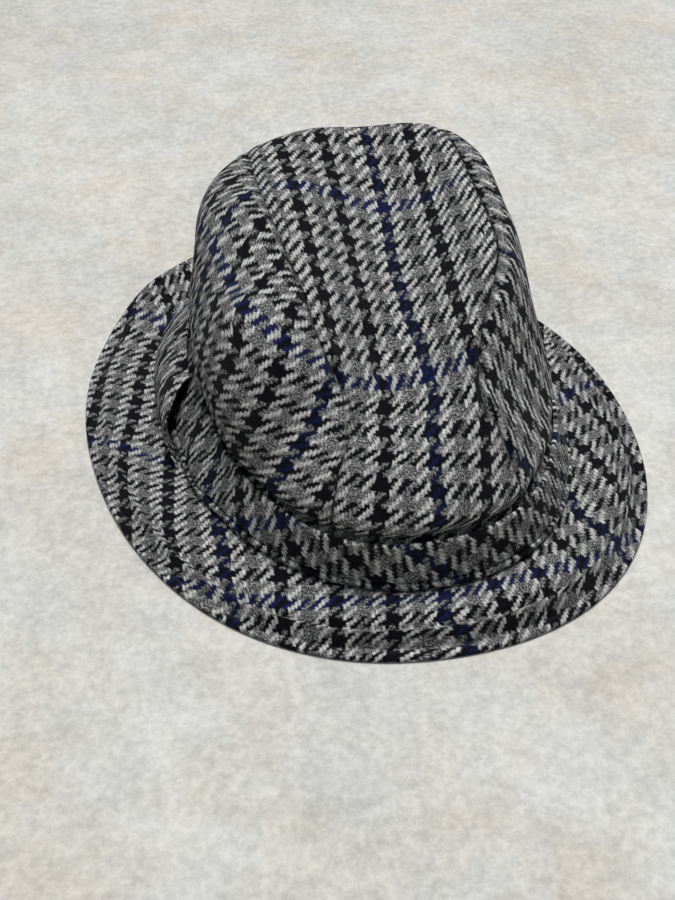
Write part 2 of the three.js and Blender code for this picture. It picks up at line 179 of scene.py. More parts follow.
BRIM_ROLL = [
    dict(angle=-90, middle=1.19, crest=1.0, rim=0.0, reach=1.0),
    dict(angle=-50, middle=1.0, crest=0.75, rim=0.0, reach=1.015),
    dict(angle=0, middle=0.62, crest=0.38, rim=0.0, reach=1.0),
    dict(angle=38, middle=0.62, crest=0.38, rim=0.0, reach=0.965),
    dict(angle=65, middle=0.75, crest=0.7, rim=0.45, reach=0.975),
    dict(angle=92, middle=1.0, crest=1.1, rim=0.93, reach=1.0),
    dict(angle=120, middle=0.95, crest=0.95, rim=0.7, reach=1.0),
    dict(angle=150, middle=0.8, crest=0.5, rim=0.0, reach=1.0),
    dict(angle=180, middle=0.75, crest=0.44, rim=0.0, reach=1.0),
    dict(angle=228, middle=0.75, crest=0.5, rim=0.0, reach=1.02),
    dict(angle=270, middle=1.19, crest=1.0, rim=0.0, reach=1.0),
]

LOOP_MOUTH_FOOT = 190
LOOP_MOUTH_HEAD = 176
LOOP_REAR = 142

# the band's cross-section from its top inner edge round to its foot: height share, and how far out in cloths
BAND_PROFILE = [
    dict(up=0.93, out=0.1),
    dict(up=1.0, out=0.15),
    dict(up=1.03, out=0.55),
    dict(up=1.0, out=0.95),
    dict(up=0.93, out=1.04),
    dict(up=0.8, out=1.0),
    dict(up=0.6, out=0.96),
    dict(up=0.4, out=0.97),
    dict(up=0.26, out=1.0),
    dict(up=0.2, out=0.95),
    dict(up=0.165, out=0.5),
    dict(up=0.14, out=1.1),
    dict(up=0.09, out=1.3),
    dict(up=0.04, out=1.2),
    dict(up=0.015, out=0.7),
    dict(up=0.0, out=0.2),
]

# what the photo shows of the check, in its pixels: at a place, the steps to the next star across and along
CHECK_MARKS = [
    dict(panel="middle", pixel=(330, 180), across=(23, 5), along=(5, 22)),
    dict(panel="middle", pixel=(350, 260), across=(21, 8), along=(6, 21)),
    dict(panel="middle", pixel=(430, 250), across=(23, -14), along=(5.5, 17.5)),
    dict(panel="middle", pixel=(420, 340), across=(23, -4.5), along=(6, 23)),
    dict(panel="middle", pixel=(400, 480), across=(25.5, 4.5), along=(-5, 29)),
    dict(panel="left", pixel=(270, 440), across=(22, 11), along=(-15, 24.5)),
    dict(panel="left", pixel=(250, 330), across=(19.5, 12.5), along=(-7, 26)),
    dict(panel="left", pixel=(240, 240), across=(8, 15), along=(-17, 24)),
    dict(panel="right", pixel=(508, 343.5), across=(7.5, -14.5), along=(15.5, 18.5)),
    dict(panel="right", pixel=(500.5, 388), across=(-0.5, -27), along=(16, 19.5)),
    dict(panel="brim", pixel=(150, 480), across=(23, 8), along=(-2, 16)),
    dict(panel="brim", pixel=(130, 400), across=(21, 7), along=(-4, 14)),
    dict(panel="brim", pixel=(400, 625), across=(26, -1), along=(-3, 22)),
    dict(panel="brim", pixel=(590, 470), across=(18, -8), along=(17, 15)),
    dict(panel="brim", pixel=(575, 420), across=(16.5, -9), along=(18, 11.5)),
]

# lines of the check in the photo: its pixels on one line that runs across or along, and its number in stars
CHECK_LINES = [
    dict(panel="middle", runs="along", star=0,
         pixels=[(365, 140), (385, 215), (400, 290), (425, 360), (432, 440), (437, 520)]),
    dict(panel="middle", runs="across", star=0, pixels=[(280, 185), (330, 190), (385, 207), (430, 195)]),
    dict(panel="middle", runs="across", star=-8, pixels=[(360, 383), (400, 383), (440, 370), (480, 352)]),
    dict(panel="left", runs="across", star=0,
         pixels=[(217, 251), (231.5, 280), (245, 307.5), (281.5, 340), (304, 354)]),
    dict(panel="left", runs="along", star=0, pixels=[(216, 248.5), (226.5, 224), (243.5, 200)]),
    dict(panel="left", runs="along", star=2, pixels=[(231.5, 278), (242.5, 253.5), (257, 229)]),
    dict(panel="left", runs="along", star=4,
         pixels=[(282, 261), (245, 306), (235, 350.5), (222, 376.5), (213.5, 402)]),
    dict(panel="left", runs="along", star=6,
         pixels=[(290, 318), (281.5, 357.5), (266, 400.5), (252, 426.5), (237.5, 452)]),
    dict(panel="left", runs="along", star=8,
         pixels=[(321, 402), (312.5, 424.5), (297.5, 448.5), (281.5, 473), (269.5, 495)]),
    dict(panel="right", runs="across", star=-2, pixels=[(491.5, 326), (508, 289.5)]),
    dict(panel="right", runs="across", star=-3, pixels=[(493, 377.5), (508, 343.5), (522.5, 314.5)]),
    dict(panel="right", runs="across", star=-4, pixels=[(509, 397.5), (525, 364)]),
    dict(panel="right", runs="along", star=6, pixels=[(508, 289.5), (522.5, 314.5)]),
    dict(panel="right", runs="along", star=4, pixels=[(491.5, 326), (508, 343.5), (525, 364)]),
    dict(panel="right", runs="along", star=2, pixels=[(493, 377.5), (509, 397.5)]),
    dict(panel="brim", runs="across", star=0,
         pixels=[(174.5, 581), (233, 596), (304, 605), (390.5, 599.5), (459.5, 592.5), (521.5, 576.5),
                 (575.5, 563), (615, 545.5)]),
    dict(panel="brim", runs="across", star=8, pixels=[(94.5, 440), (125, 448), (155, 459)]),
    dict(panel="brim", runs="across", star=8, pixels=[(553, 409), (583, 386)]),
    dict(panel="brim", runs="across", star=16, pixels=[(136, 312), (167.5, 337)]),
    dict(panel="brim", runs="along", star=-8, pixels=[(217.5, 528), (224, 568), (234, 610)]),
    dict(panel="brim", runs="along", star=0, pixels=[(443.5, 615.5), (468.5, 645)]),
    dict(panel="brim", runs="along", star=8, pixels=[(583.5, 519), (617, 545.5), (627, 559.5)]),
]

# where the band is gathered: the cloth drawn in, in millimetres, over an angle to each side
BAND_GATHERS = [
    dict(angle=199, spread=13, cloth=20),
    dict(angle=318, spread=20, cloth=22),
]

BAND_START = (2, -110, 33)
BAND_START_STAR = (0.25, -2.75)

# the band is cut on the slant: the stars across and along that go by, for a stretch of so many millimetres
BAND_STRETCH = 162
BAND_SLANT = dict(round=(10.5, -7.5), up=(9, 9))

# how the crown's cloth tucks in at the band's top and swells above it, in metres, and how much more in front
CROWN_TUCKS = [
    dict(above=0.0005, width=0.0032, push=-0.0010, front=-0.0012),
    dict(above=0.0085, width=0.0045, push=0.0004, front=0.0014),
]

# a seam's groove and the low ridge beside it, and the pale yarn along it, in metres
SEAM = dict(depth=0.0004, front=0.0008, width=0.0012, ridge=0.0003, ridge_at=0.004, ridge_width=0.002)
PALE_YARN = dict(at=0.0027, width=0.0019, beside=0.35)

# a mark that keeps the seam's painted shade off a whole piece
FAR_FROM_SEAM = 0.02

# the pressed groove round the brim's front, at shares of its width
BRIM_GROOVE = dict(height=0.0019, ridge=0.77, hollow=0.68, width=0.035)

# the band's swell beside the loop's mouth, in degrees round from it
BAND_SWELL = dict(height=0.0036, beside=10, width=6)

# rows and columns of the meshes
SEAM_ROWS = 171
MIDDLE_COLUMNS = 121
SIDE_COLUMNS = 91
AROUND = 361
BAND_ROWS = 76
BRIM_ROWS = 64
LOOP_COLUMNS = 90
LOOP_ROWS = 40

# the camera, which sees the hat as the photo does: degrees from straight ahead to the right and down
CAMERA = dict(place=(-0.0973, -0.4128, 0.422), turn=12, pitch=46, lens=66.56, sensor=36.0)
PHOTO_SIZE = (675, 900)

LIGHTS = [
    dict(name="window", place=(-0.5, -0.9, 2.0), aim=(0, 0, 0.05), size=0.9, power=5.0),
    dict(name="ceiling", place=(0.15, 0.18, 2.2), aim=(0, 0, 0), size=0.9, power=51.0),
]
SKY = dict(colour=(0.78, 0.88, 1.0, 1), strength=0.13)

# how hard the check's lines pull the cloth, how far a mark is trusted over an even lay,
# and how a pixel beside the cloth counts against its distance from the camera
LINE_PULL = 60.0
MARK_TRUST = 0.8
MISS_COST = 20.0

# how far over the cloth a mark's heading and its spacing reach, how squarely the camera has to see
# the cloth for its spacing to count, how often the lay is eased, and where in a star its dark line lies
HEADING_REACH = 0.03
SPACING_REACH = 0.02
SQUARE_ENOUGH = 0.6
LAY_ROUNDS = 24
LINE_MIDDLE = 0.25

# the soft unevenness of each piece: the seed of its random waves, their height and their length
RIPPLES = {"crown": (3, 0.0004, 0.03), "band": (8, 0.0002, 0.022), "brim": (5, 0.00035, 0.035)}

# the loop: how its columns crowd toward the mouth, how its puff fades away from the mouth and toward
# its edges, and how thin its cloth is at the mouth and how far in that reaches
LOOP_SHAPE = {"crowding": 1.7, "fade": 1.5, "edges": 0.8, "thinnest": 0.3, "thinned": 0.1}

# the brim's rounded edge: its rings, how far it bulges, how much cloth it takes, and its line of stitches,
# which is darkened with painted shade
BRIM_EDGE = {"rings": 7, "bulge": 0.001, "cloth": 1.4, "stitches": 0.0035, "stitch_width": 0.0006}


# Shape of the hat


def smooth_step(value):
    t = np.clip(value, 0, 1)
    return t * t * (3 - 2 * t)


def signed_power(value, power):
    return np.sign(value) * np.abs(value) ** power


def bell(value):
    return np.exp(-(value**2))


def cubic_read(values, share):
    """Reads a smooth curve through evenly spread values at shares from 0 to 1."""
    last = len(values) - 1
    place = np.clip(share, 0, 1) * last
    index = np.minimum(place.astype(int), last - 1)
    t = (place - index).reshape(index.shape + (1,) * (values.ndim - 1))
    weights = (-t + 2 * t**2 - t**3, 2 - 5 * t**2 + 3 * t**3, t + 4 * t**2 - 3 * t**3, -(t**2) + t**3)
    return sum(weight * values[np.clip(index + k - 1, 0, last)] for k, weight in enumerate(weights)) / 2


def column(table, name, share):
    return cubic_read(np.array([row[name] for row in table], float), np.asarray(share, float))


def sizes():
    return bpy.context.scene.trilby_sizes


def colours():
    return bpy.context.scene.trilby_colours


class Hat:
    """The crown's outside, the brim's top and the lines that the other pieces follow."""

    def __init__(self, s):
        self.s = s
        self.half = np.array([s.crown_width / 2, s.crown_length / 2, s.crown_height])
        self.shift = np.array([s.crown_side, s.crown_back, 0])
        self.band_top = s.brim_root + s.band_height
        self.base = s.brim_root - s.brim_cloth

    def section_height(self, share):
        low = column(CROWN_SECTIONS, "low", share)
        rise = column(CROWN_SECTIONS, "rise", share)
        return self.base + low * (self.band_top - self.base) + rise * (self.s.crown_height - self.band_top)

    def share_at(self, height):
        shares = np.linspace(0, 0.3, 600)
        return np.interp(height, self.section_height(shares), shares)

    def crown(self, angle, share):
        angle, share = np.broadcast_arrays(np.asarray(angle, float), np.asarray(share, float))
        names = ("left", "right", "front", "back", "squareness", "lean")
        left, right, front, back, squareness, lean = (column(CROWN_SECTIONS, name, share) for name in names)
        power = 2 / squareness
        half_x, half_y, height = self.half
        y = ((front + back) / 2 + (back - front) / 2 * signed_power(np.sin(angle), power)) * half_y
        x = ((left + right) / 2 + (right - left) / 2 * signed_power(np.cos(angle), power)) * half_x - lean * y
        z = self.section_height(share)
        above = smooth_step((z - self.band_top) / (height - self.band_top))
        z = z * (1 + self.s.crown_tilt * above * y / half_y)
        points = np.stack([x, y, z], -1)
        push = np.zeros_like(points)
        for centre, spread, pushed in CROWN_DENTS.values():
            away = (points / self.half - centre) / spread
            weight = np.exp(-(away**2).sum(-1) / 2)
            push += weight[..., None] * np.array(pushed) * self.half
        return points + push + self.shift

    def crown_normal(self, angle, share):
        step = 0.004
        place = np.clip(share, step, 1 - 3 * step)
        around = self.crown(angle + step, place) - self.crown(angle - step, place)
        up = self.crown(angle, place + step) - self.crown(angle, place - step)
        normal = np.cross(around, up)
        return normal / np.linalg.norm(normal, axis=-1, keepdims=True)

    def off_crown(self, angle, share, distance):
        return self.crown(angle, share) + self.crown_normal(angle, share) * np.asarray(distance)[..., None]

    def crown_line(self, angle, height, distance):
        share = self.share_at(height)
        return self.off_crown(angle, share, distance)

    def seam_side(self, path, y):
        """How far to the side a seam lies at a place along the hat."""
        rows = np.linspace(0, 1, 200)
        along = column(path, "along", rows) * self.half[1] + self.shift[1]
        side = column(path, "side", rows) * self.half[0] + self.shift[0]
        return np.interp(y, along, side)

    def roll(self, name, angle):
        degrees = (np.degrees(angle) + 90) % 360 - 90
        at = np.array([row["angle"] for row in BRIM_ROLL], float)
        values = np.array([row[name] for row in BRIM_ROLL], float)
        index = np.clip(np.searchsorted(at, degrees, side="right"), 1, len(at) - 1)
        share = smooth_step((degrees - at[index - 1]) / (at[index] - at[index - 1]))
        return values[index - 1] + (values[index] - values[index - 1]) * share

    def brim_outline(self, angle, grow=0.0):
        power = 2 / self.s.brim_squareness
        reach = self.roll("reach", angle)
        y = (reach * self.s.brim_length / 2 + grow) * signed_power(np.sin(angle), power)
        x = (reach * self.s.brim_width / 2 + grow) * signed_power(np.cos(angle), power) - self.s.brim_lean * y
        return x, y

    def brim_height(self, angle, out):
        s = self.s
        rim = s.brim_cloth + self.roll("rim", angle) * s.back_rise
        middle = s.brim_cloth + self.roll("middle", angle) * s.roll_height
        crest = s.brim_cloth + self.roll("crest", angle) * s.roll_height
        root = np.full_like(rim, s.brim_root)
        at = [0, BRIM_LINES["seat"], BRIM_LINES["middle"], BRIM_LINES["crest"], BRIM_LINES["lip"], 1.0]
        heights = [root, root, middle, crest, rim, rim]
        result = np.zeros(np.broadcast(angle, out).shape)
        out = np.broadcast_to(out, result.shape)
        for k in range(5):
            inside = (out >= at[k]) & (out <= at[k + 1])
            t = (out - at[k]) / (at[k + 1] - at[k])
            t = 0.45 * t + 0.55 * smooth_step(t)
            value = heights[k] + (heights[k + 1] - heights[k]) * t
            result = np.where(inside, value, result)
        return result

    def brim(self, angle, out):
        root = self.crown_line(angle, self.s.brim_root, self.s.gap)
        x, y = self.brim_outline(angle)
        x = root[..., 0] + (x - root[..., 0]) * out
        y = root[..., 1] + (y - root[..., 1]) * out
        return np.stack([x, y, self.brim_height(angle, out)], -1)


def fold_push(points):
    push = np.zeros(points.shape[:-1])
    for fold in CROWN_FOLDS:
        start = np.array(fold["start"]) * MM
        end = np.array(fold["end"]) * MM
        run = end - start
        t = np.clip(((points - start) @ run) / (run @ run), 0, 1)
        away = np.linalg.norm(points - start - t[..., None] * run, axis=-1) / (fold["width"] * MM)
        taper = np.sin(np.pi * np.clip(0.12 + 0.76 * t, 0, 1)) ** 0.5
        push += fold["height"] * MM * bell(away) * taper
    return push


def ripple(points, seed, size, wavelength):
    """A soft random unevenness made of a few slow waves."""
    random = np.random.default_rng(seed)
    total = np.zeros(points.shape[:-1])
    for _ in range(14):
        direction = random.normal(size=3)
        direction /= np.linalg.norm(direction)
        wave = 2 * math.pi / (wavelength * random.uniform(0.7, 1.8))
        total += np.sin(points @ direction * wave + random.uniform(0, 6.28))
    return total * size / 14**0.5


# Meshes


def new_piece(name, points, faces, stars, marks):
    """A mesh whose points carry star numbers of the check, and further values by name."""
    mesh = bpy.data.meshes.new(name)
    mesh.from_pydata(points.reshape(-1, 3).tolist(), [], faces)
    for face in mesh.polygons:
        face.use_smooth = True
    for key, values in marks.items():
        mesh.attributes.new(key, "FLOAT", "POINT").data.foreach_set("value", np.asarray(values, np.float32))
    loops = np.zeros(len(mesh.loops), np.int32)
    mesh.loops.foreach_get("vertex_index", loops)
    places = np.asarray(stars, np.float32).reshape(-1, 2)[loops]
    mesh.uv_layers.new(name="cloth").data.foreach_set("uv", places.ravel())
    piece = bpy.data.objects.new(name, mesh)
    bpy.context.scene.collection.objects.link(piece)
    return piece


def grid_faces(rows, columns):
    corners = [i * columns + j for i in range(rows - 1) for j in range(columns - 1)]
    return [(k, k + 1, k + columns + 1, k + columns) for k in corners]


def ring_faces(rows, columns):
    """Faces of a grid whose last row joins its first."""
    total = rows * columns
    return [tuple(k % total for k in face) for face in grid_faces(rows + 1, columns)]


def edit_mesh(piece, change):
    bm = bmesh.new()
    bm.from_mesh(piece.data)
    change(bm)
    bm.to_mesh(piece.data)
    bm.free()


def close_up(bm):
    """Merges points that lie on each other."""
    bmesh.ops.remove_doubles(bm, verts=bm.verts, dist=2e-6)
    bmesh.ops.dissolve_degenerate(bm, edges=bm.edges, dist=1e-6)


def turn_outward(bm):
    """Turns a closed piece's faces outward."""
    bmesh.ops.recalc_face_normals(bm, faces=bm.faces)
    if bm.calc_volume(signed=True) < 0:
        bmesh.ops.reverse_faces(bm, faces=bm.faces)


def turn_left(bm):
    """Turns an open piece's faces to the side of the hat that has the loop."""
    bm.normal_update()
    if sum(face.normal.x for face in bm.faces) > 0:
        bmesh.ops.reverse_faces(bm, faces=bm.faces)


def thicken(piece, thickness, **values):
    modifier = piece.modifiers.new("cloth", "SOLIDIFY")
    for key, value in dict(thickness=thickness, offset=-1.0, **values).items():
        setattr(modifier, key, value)


def finish_piece(piece, node):
    piece.data.materials.append(tweed())
    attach(piece, "root")
    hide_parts(node)


# How the check lies on the cloth


def even_picks(count, step):
    return np.round(np.linspace(0, count - 1, max(4, round(count / step)))).astype(int)


def smooth_read(coarse, picked_rows, picked_columns, rows, columns):
    """Spreads values at the picked rows and columns over a whole grid."""
    for picked, count in ((picked_rows, rows), (picked_columns, columns)):
        share = np.interp(np.arange(count), picked, np.linspace(0, 1, len(picked)))
        coarse = np.swapaxes(cubic_read(coarse, share), 0, 1)
    return coarse


def lay_check(panel, grid, row_step=6, column_step=5):
    """Star numbers across and along for a grid of places, laid out as cloth that hardly stretches."""
    row_picks = even_picks(grid.shape[0], row_step)
    column_picks = even_picks(grid.shape[1], column_step)
    coarse = grid[np.ix_(row_picks, column_picks)]
    points = coarse.reshape(-1, 3)
    keys = np.round(points / 1e-5).astype(np.int64)
    _, first, number = np.unique(keys, axis=0, return_index=True, return_inverse=True)
    number = number.ravel()
    corners = np.array(grid_faces(*coarse.shape[:2]))
    triangles = number[corners[:, [0, 1, 2, 0, 2, 3]].reshape(-1, 3)]
    whole = (triangles != np.roll(triangles, 1, axis=1)).all(1)
    flat = lay_flat(panel, points[first], triangles[whole])[number]
    return smooth_read(flat.reshape(*coarse.shape[:2], 2), row_picks, column_picks, *grid.shape[:2])


def camera_look():
    turn, pitch = math.radians(CAMERA["turn"]), math.radians(CAMERA["pitch"])
    return np.array([math.sin(turn) * math.cos(pitch), math.cos(turn) * math.cos(pitch), -math.sin(pitch)])


def seen(pixel, corner, first, second):
    """The triangle that the camera sees at a pixel of the photo, and the shares of its corners there."""
    look = camera_look()
    right = np.cross(look, (0, 0, 1))
    right /= np.linalg.norm(right)
    scale = PHOTO_SIZE[0] * CAMERA["lens"] / CAMERA["sensor"]
    aside, down = (np.array(pixel) - np.array(PHOTO_SIZE) / 2) / scale
    ray = look + right * aside - np.cross(right, look) * down
    start = np.array(CAMERA["place"]) - corner
    across = np.cross(ray, second)
    turned = np.cross(start, first)
    bend = (first * across).sum(1)
    bend = np.where(np.abs(bend) < 1e-12, 1e-12, bend)
    one = (start * across).sum(1) / bend
    two = turned @ ray / bend
    reach = (second * turned).sum(1) / bend
    shares = np.stack([1 - one - two, one, two], -1)
    outside = np.maximum(0, -shares.min(1)) * np.linalg.norm(first, axis=1)
    near = np.argmin(reach + MISS_COST * outside)
    return near, shares[near]


def lay_flat(panel, points, triangles):
    s = sizes()
    star = np.array([s.check_across, s.check_along])
    corner, one, two = (points[triangles[:, k]] for k in range(3))
    first = one - corner
    second = two - corner
    area = np.linalg.norm(np.cross(first, second), axis=1) / 2
    keep = area > 1e-9
    triangles, corner, first, second, area = (part[keep] for part in (triangles, corner, first, second, area))
    side = first / np.linalg.norm(first, axis=1, keepdims=True)
    normal = np.cross(first, second)
    normal /= np.linalg.norm(normal, axis=1, keepdims=True)
    ahead = np.cross(normal, side)
    # how the value at each corner of a triangle bears on the slope across it
    reach = (first * side).sum(1)
    lean = (second * side).sum(1)
    rise = (second * ahead).sum(1)
    slopes = np.zeros((len(triangles), 3, 2))
    slopes[:, 1, 0] = 1 / reach
    slopes[:, 1, 1] = -lean / (reach * rise)
    slopes[:, 2, 1] = 1 / rise
    slopes[:, 0] = -slopes[:, 1] - slopes[:, 2]
    middle = corner + (first + second) / 3
    surface = (corner, first, second)
    turn, fixed, trust = marked_turn(panel, surface, middle, side, ahead, star)
    count = len(points)
    stiff = np.zeros((count, count))
    for i in range(3):
        for j in range(3):
            np.add.at(stiff, (triangles[:, i], triangles[:, j]), area * (slopes[:, i] * slopes[:, j]).sum(1))
    stiff += np.eye(count) * stiff.trace() / count * 1e-7
    held = [held_lines(panel, axis, star[axis], stiff, triangles, surface) for axis in range(2)]
    flat = np.zeros((count, 2))
    for _ in range(LAY_ROUNDS):
        wanted = turn * (1 - trust)[:, None, None] + fixed * trust[:, None, None]
        for axis in range(2):
            inverse, pull = held[axis]
            load = pull.copy()
            for i in range(3):
                np.add.at(load, triangles[:, i], area * (slopes[:, i] * wanted[:, axis]).sum(1))
            flat[:, axis] = inverse @ load
        slope = np.einsum("tia,tib->tab", flat[triangles], slopes)
        angle = np.arctan2(slope[:, 1, 0] - slope[:, 0, 1], slope[:, 0, 0] + slope[:, 1, 1])
        turn = np.stack([np.cos(angle), -np.sin(angle), np.sin(angle), np.cos(angle)], -1).reshape(-1, 2, 2)
    return flat / star


def held_lines(panel, axis, star, stiff, triangles, surface):
    matrix = stiff.copy()
    pull = np.zeros(len(stiff))
    for line in CHECK_LINES:
        if line["panel"] != panel or line["runs"] != ("along", "across")[axis]:
            continue
        for pixel in line["pixels"]:
            near, shares = seen(pixel, *surface)
            at = triangles[near]
            matrix[np.ix_(at, at)] += LINE_PULL * np.outer(shares, shares)
            pull[at] += LINE_PULL * shares * (line["star"] + LINE_MIDDLE) * star
    return np.linalg.inv(matrix), pull


def lifted(pixel, corner, first, second):
    """The place on the cloth that the camera sees at a pixel of the photo."""
    near, shares = seen(pixel, corner, first, second)
    return corner[near] + shares[1] * first[near] + shares[2] * second[near]


def step_on_cloth(pixel, step, surface):
    half = np.array(step) / 2
    return lifted(pixel + half, *surface) - lifted(pixel - half, *surface)


def marked_turn(panel, surface, middle, side, ahead, star):
    """The turn of the cloth in each triangle, as the nearest marks show it, and how far to trust them."""
    heading = np.zeros((len(middle), 2))
    fixed = np.zeros((len(middle), 2, 2))
    trust = np.zeros(len(middle))
    for mark in CHECK_MARKS:
        if mark["panel"] != panel:
            continue
        pixel = np.array(mark["pixel"])
        across = step_on_cloth(pixel, mark["across"], surface)
        along = step_on_cloth(pixel, mark["along"], surface)
        distance = np.linalg.norm(middle - lifted(pixel, *surface), axis=1)
        on_across = np.stack([side @ across, ahead @ across], -1)
        on_along = np.stack([side @ along, ahead @ along], -1)
        upward = -on_along / (np.linalg.norm(on_along, axis=1, keepdims=True) + 1e-9)
        level = on_across / (np.linalg.norm(on_across, axis=1, keepdims=True) + 1e-9)
        weight = np.exp(-((distance / HEADING_REACH) ** 2) / 2) + 1e-7 / (distance**2 + 1e-6)
        heading += weight[:, None] * (level + np.stack([upward[:, 1], -upward[:, 0]], -1))
        spread = on_across[:, 0] * on_along[:, 1] - on_across[:, 1] * on_along[:, 0]
        facing = np.abs(spread) > SQUARE_ENOUGH * np.linalg.norm(across) * np.linalg.norm(along)
        spread = np.where(facing, spread, 1.0)
        shown = np.zeros_like(fixed)
        shown[:, 0, 0] = on_along[:, 1] * star[0] / spread
        shown[:, 0, 1] = -on_along[:, 0] * star[0] / spread
        shown[:, 1, 0] = on_across[:, 1] * star[1] / spread
        shown[:, 1, 1] = -on_across[:, 0] * star[1] / spread
        here = MARK_TRUST * np.exp(-((distance / SPACING_REACH) ** 2) / 2) * facing
        nearer = here > trust
        fixed[nearer] = shown[nearer]
        trust = np.maximum(trust, here)
    heading /= np.linalg.norm(heading, axis=1, keepdims=True)
    turn = np.stack([heading[:, 0], heading[:, 1], -heading[:, 1], heading[:, 0]], -1).reshape(-1, 2, 2)
    return turn, fixed, trust


# Shaders

# threads in one star of the check, in one group of one colour and in one step of the twill,
# and stars from one line of the overcheck to the next
THREADS = 8.0
COLOUR_GROUP = 4.0
TWILL_STEP = 4.0
OVERCHECK = 8.0

# how far the threads wander and fray, in stars, and how far beside a seam the cloth is darkened with painted
# shade and lowered
WANDER = 0.16
FRAY = 0.26
SEAM_SHADE = {"reach": 0.0011, "darkest": 0.35, "low": 0.0026}


class Nodes:
    """Adds linked shader nodes with short calls."""

    def __init__(self, tree):
        self.tree = tree

    def add(self, kind, inputs=None, **values):
        node = self.tree.nodes.new(kind)
        for key, value in values.items():
            setattr(node, key, value)
        for key, value in (inputs or {}).items():
            socket = node.inputs[key]
            if isinstance(value, bpy.types.NodeSocket):
                self.tree.links.new(value, socket)
            else:
                socket.default_value = value
        return node

    def math(self, operation, *values):
        return self.add("ShaderNodeMath", dict(enumerate(values)), operation=operation).outputs[0]

    def mix(self, factor, first, second):
        return self.add("ShaderNodeMix", {0: factor, 6: first, 7: second}, data_type="RGBA").outputs[2]

    def blend(self, factor, first, second):
        return self.add("ShaderNodeMix", {0: factor, 2: first, 3: second}, data_type="FLOAT").outputs[0]

    def ramp(self, value, low, high, to_low=0.0, to_high=1.0):
        inputs = {0: value, 1: low, 2: high, 3: to_low, 4: to_high}
        return self.add("ShaderNodeMapRange", inputs, interpolation_type="SMOOTHSTEP").outputs[0]

    def vector(self, operation, first, second):
        return self.add("ShaderNodeVectorMath", {0: first, 1: second}, operation=operation).outputs[0]

    def scaled(self, first, factor):
        return self.add("ShaderNodeVectorMath", {0: first, "Scale": factor}, operation="SCALE").outputs[0]

    def noise(self, place, scale, detail, roughness=0.5, output=0):
        inputs = {"Vector": place, "Scale": scale, "Detail": detail, "Roughness": roughness}
        return self.add("ShaderNodeTexNoise", inputs).outputs[output]

    def every(self, value, count):
        """1 where a whole number is a multiple of count, and otherwise 0."""
        return self.math("COMPARE", self.math("FLOORED_MODULO", value, count), 0.0, 0.1)

    def link(self, output, shader, name):
        self.tree.links.new(output, shader.inputs[name])


def group(name, inputs, outputs):
    tree = bpy.data.node_groups.new(name, "ShaderNodeTree")
    for label, kind in inputs:
        tree.interface.new_socket(label, in_out="INPUT", socket_type=kind)
    for label, kind in outputs:
        tree.interface.new_socket(label, in_out="OUTPUT", socket_type=kind)
    nodes = Nodes(tree)
    return tree, nodes, nodes.add("NodeGroupInput"), nodes.add("NodeGroupOutput")


